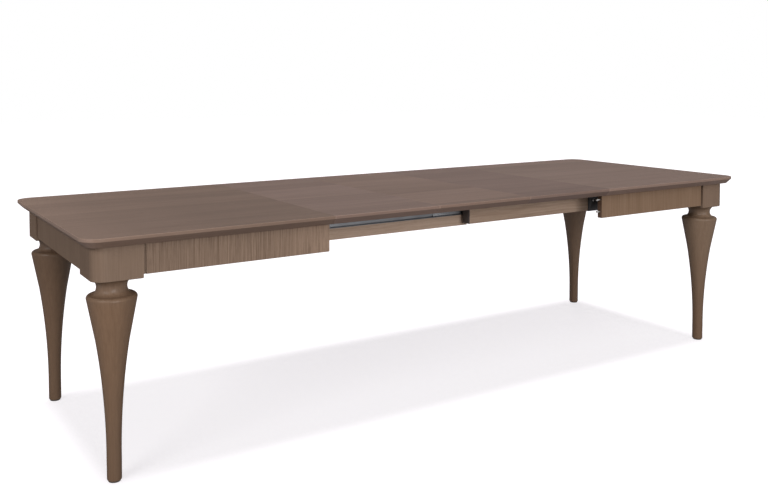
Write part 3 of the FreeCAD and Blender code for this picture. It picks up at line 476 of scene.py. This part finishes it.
bpy.ops.object.select_all(action="DESELECT")
bpy.ops.mesh.primitive_cylinder_add(vertices=24, radius=head_radius, depth=head_height,
                                    location=(0.0, 0.0, head_height / 2))
pan_screw = bpy.context.object
pan_screw.name = "pan_screw"
bpy.ops.object.transform_apply()
pick_end(pan_screw, -1)
bpy.ops.mesh.inset(thickness=head_radius - shank_radius)
draw_down((1.0 - point_length_share) * shank_length)
draw_down(point_length_share * shank_length)
bpy.ops.transform.resize(value=(point_width_share, point_width_share, 1.0))
pick_end(pan_screw, 1)
bpy.ops.mesh.bevel(offset=head_round, segments=3, affect="EDGES")
bpy.ops.object.mode_set(mode="OBJECT")
for turned in (0.0, math.pi / 2):
    bpy.ops.mesh.primitive_cube_add(size=1.0, location=(0.0, 0.0, head_height), rotation=(0.0, 0.0, turned),
                                    scale=(recess_length, recess_width, 2 * recess_depth))
    slot_tool = bpy.context.object
    bpy.context.view_layer.objects.active = pan_screw
    recess = pan_screw.modifiers.new("recess", "BOOLEAN")
    recess.object = slot_tool
    recess.operation = "DIFFERENCE"
    bpy.ops.object.modifier_apply(modifier=recess.name)
    bpy.data.objects.remove(slot_tool)
pan_screw.data.materials.clear()
pan_screw.data.materials.append(bright_zinc)


def screw_seat(place):
    """Where the head of a plain screw ends, and the way it looks."""
    points = [vertex.co for vertex in place.data.vertices]
    low = Vector([min(point[axis] for point in points) for axis in range(3)])
    high = Vector([max(point[axis] for point in points) for axis in range(3)])
    middle = (low + high) / 2
    along = max(range(3), key=lambda axis: high[axis] - low[axis])
    across = [axis for axis in range(3) if axis != along]
    widest = max(points, key=lambda point: sum((point[axis] - middle[axis]) ** 2 for axis in across))
    head_is_high = widest[along] > middle[along]
    outwards = Vector((0.0, 0.0, 0.0))
    outwards[along] = 1.0 if head_is_high else -1.0
    crown = middle.copy()
    crown[along] = high[along] if head_is_high else low[along]
    return crown, outwards


screw_rows = {
    "left_bracket_screws": "left_half",
    "right_bracket_screws": "right_half",
    "left_runner_screws": "left_half",
    "right_slider_screws": "right_half",
}
for row, body in screw_rows.items():
    merged_copy(row, "places")
    bpy.ops.object.mode_set(mode="EDIT")
    bpy.ops.mesh.separate(type="LOOSE")
    bpy.ops.object.mode_set(mode="OBJECT")
    places = sorted(bpy.context.selected_objects, key=lambda place: tuple(place.bound_box[0]))
    copies = []
    for number, place in enumerate(places):
        crown, outwards = screw_seat(place)
        stopped = Matrix.Rotation(number * turn_between_screws, 4, "Z")
        upright = outwards.to_track_quat("Z", "Y").to_matrix().to_4x4()
        mesh = pan_screw.data.copy()
        mesh.transform(Matrix.Translation(crown - head_height * outwards) @ upright @ stopped)
        copies.append(bpy.data.objects.new(f"{row}_{number}", mesh))
        bpy.context.scene.collection.objects.link(copies[-1])
        bpy.data.objects.remove(place)
    bpy.ops.object.select_all(action="DESELECT")
    for copy in copies:
        copy.select_set(True)
    bpy.context.view_layer.objects.active = copies[0]
    bpy.ops.object.join()
    bpy.ops.object.shade_smooth_by_angle(angle=math.radians(35))
    driven = bpy.context.object
    driven.name = f"{row}_driven"
    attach(driven, body)
    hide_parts(row)
bpy.data.objects.remove(pan_screw)

# The floor: a white studio floor that runs out of sight. It shows the table's shadow, which fades out
# just past the feet, and throws only a little light back up at the wood.
floor_reach = 40.0
floor_shadow_share = 0.437
shadow_ends = {"X": (1.34, 1.5), "Y": (0.36, 0.53)}
bpy.ops.mesh.primitive_plane_add(size=floor_reach, location=(0.0, 0.0, 0.0))
floor = bpy.context.object
floor.name = "floor"


def seen_directly(tree):
    """Level that is 1 for what the camera sees, also in a mirror or through glass."""
    path = lay(tree, "ShaderNodeLightPath", {})
    seen = reckon(tree, "MAXIMUM", path.outputs["Is Camera Ray"], path.outputs["Is Glossy Ray"])
    return reckon(tree, "MAXIMUM", seen, path.outputs["Is Transmission Ray"])


studio_floor, tree, plain_skin = new_finish("studio_floor")
tree.nodes.remove(plain_skin)
place = lay(tree, "ShaderNodeTexCoord", {}).outputs["Object"]
spot = lay(tree, "ShaderNodeSeparateXYZ", {"Vector": place}).outputs
shadow = floor_shadow_share
for axis, (full, none) in shadow_ends.items():
    fade = lay(tree, "ShaderNodeMapRange", {
        "Value": reckon(tree, "ABSOLUTE", spot[axis]),
        "From Min": full, "From Max": none, "To Min": 1.0, "To Max": 0.0,
    }, interpolation_type="SMOOTHSTEP")
    shadow = reckon(tree, "MULTIPLY", fade.outputs["Result"], shadow)
glow = lay(tree, "ShaderNodeEmission", {"Color": (1.0, 0.97, 1.0, 1.0), "Strength": 1.27})
matt = lay(tree, "ShaderNodeBsdfDiffuse", {"Color": (0.9, 0.9, 0.9, 1.0)})
shown = lay(tree, "ShaderNodeMixShader", {0: shadow, 1: glow.outputs[0], 2: matt.outputs[0]})
bounce = lay(tree, "ShaderNodeBsdfDiffuse", {"Color": (0.25, 0.25, 0.25, 1.0)})
surface = lay(tree, "ShaderNodeMixShader", {
    0: seen_directly(tree), 1: bounce.outputs[0], 2: shown.outputs[0],
})
tree.links.new(surface.outputs[0], tree.nodes["Material Output"].inputs["Surface"])
floor.data.materials.append(studio_floor)

# The backdrop: plain white where it is seen, and a little even light from all round where it isn't.
# It stands far off on every side, so no edge of it shows.
white = (1.0, 1.0, 1.0, 1.0)
world = bpy.data.worlds.new("studio")
bpy.context.scene.world = world
world.use_nodes = True
tree = world.node_tree
ambient = lay(tree, "ShaderNodeBackground", {"Color": white, "Strength": 0.18})
backdrop = lay(tree, "ShaderNodeBackground", {"Color": white, "Strength": 1.0})
surface = lay(tree, "ShaderNodeMixShader", {
    0: seen_directly(tree), 1: ambient.outputs[0], 2: backdrop.outputs[0],
})
tree.links.new(surface.outputs[0], tree.nodes["World Output"].inputs["Surface"])


# The lamps: a narrow one overhead that drops the shadow between the feet, broad ones from the front and
# the left, a fill from behind that leaves no glint, and a small softbox whose glint runs down the legs.
def stand_lamp(name, kind, towards):
    """A lamp that shines from the side that towards points to."""
    lamp = bpy.data.lights.new(name, kind)
    holder = bpy.data.objects.new(name, lamp)
    bpy.context.scene.collection.objects.link(holder)
    holder.rotation_euler = Vector(towards).to_track_quat("Z", "Y").to_euler()
    return holder


far_lamps = (
    ("overhead", (0.0, 0.0, 1.0), 9.0, 0.36, True),
    ("front", (0.0, -0.985, 0.174), 26.0, 1.2, True),
    ("side", (-0.75, -0.433, 0.5), 26.0, 1.27, True),
    ("behind", (0.6, 0.795, 0.08), 26.0, 1.5, False),
)
for name, towards, breadth, level, glints in far_lamps:
    far_lamp = stand_lamp(name, "SUN", towards)
    far_lamp.data.angle = math.radians(breadth)
    far_lamp.data.energy = level
    far_lamp.visible_glossy = glints
softbox_place = Vector((-1.8, -5.0, 1.9))
softbox_target = Vector((-0.4, 0.0, 0.5))
softbox = stand_lamp("softbox", "AREA", softbox_place - softbox_target)
softbox.location = softbox_place
softbox.data.size = 1.1
softbox.data.energy = 40.0

# The camera: at the near left corner, standing back and a little above the top, level enough that the
# legs stay upright in the picture. Its turn, dip and lean are in radians.
photo_width = 768.0
photo_height = 500.0
focal_pixels = 873.7474
middle_pixel = (347.9279, 114.7144)
stand = Vector((-2.0939, -2.9732, 1.2232))
turn = 0.544
dip = 0.045
lean = 0.0024
ahead = Vector((math.sin(turn) * math.cos(dip), math.cos(turn) * math.cos(dip), -math.sin(dip)))
level_right = Vector((math.cos(turn), -math.sin(turn), 0.0))
straight_down = ahead.cross(level_right)
right = math.cos(lean) * level_right + math.sin(lean) * straight_down
down = -math.sin(lean) * level_right + math.cos(lean) * straight_down
lens = bpy.data.cameras.new("photo_camera")
lens.sensor_width = 36.0
lens.lens = focal_pixels / photo_width * lens.sensor_width
lens.shift_x = (photo_width / 2 - middle_pixel[0]) / photo_width
lens.shift_y = (middle_pixel[1] - photo_height / 2) / photo_width
camera = bpy.data.objects.new("photo_camera", lens)
bpy.context.scene.collection.objects.link(camera)
axes = Matrix((right, -down, -ahead)).transposed().to_4x4()
camera.matrix_world = Matrix.Translation(stand) @ axes
bpy.context.scene.camera = camera
bpy.context.scene.view_settings.view_transform = "Standard"
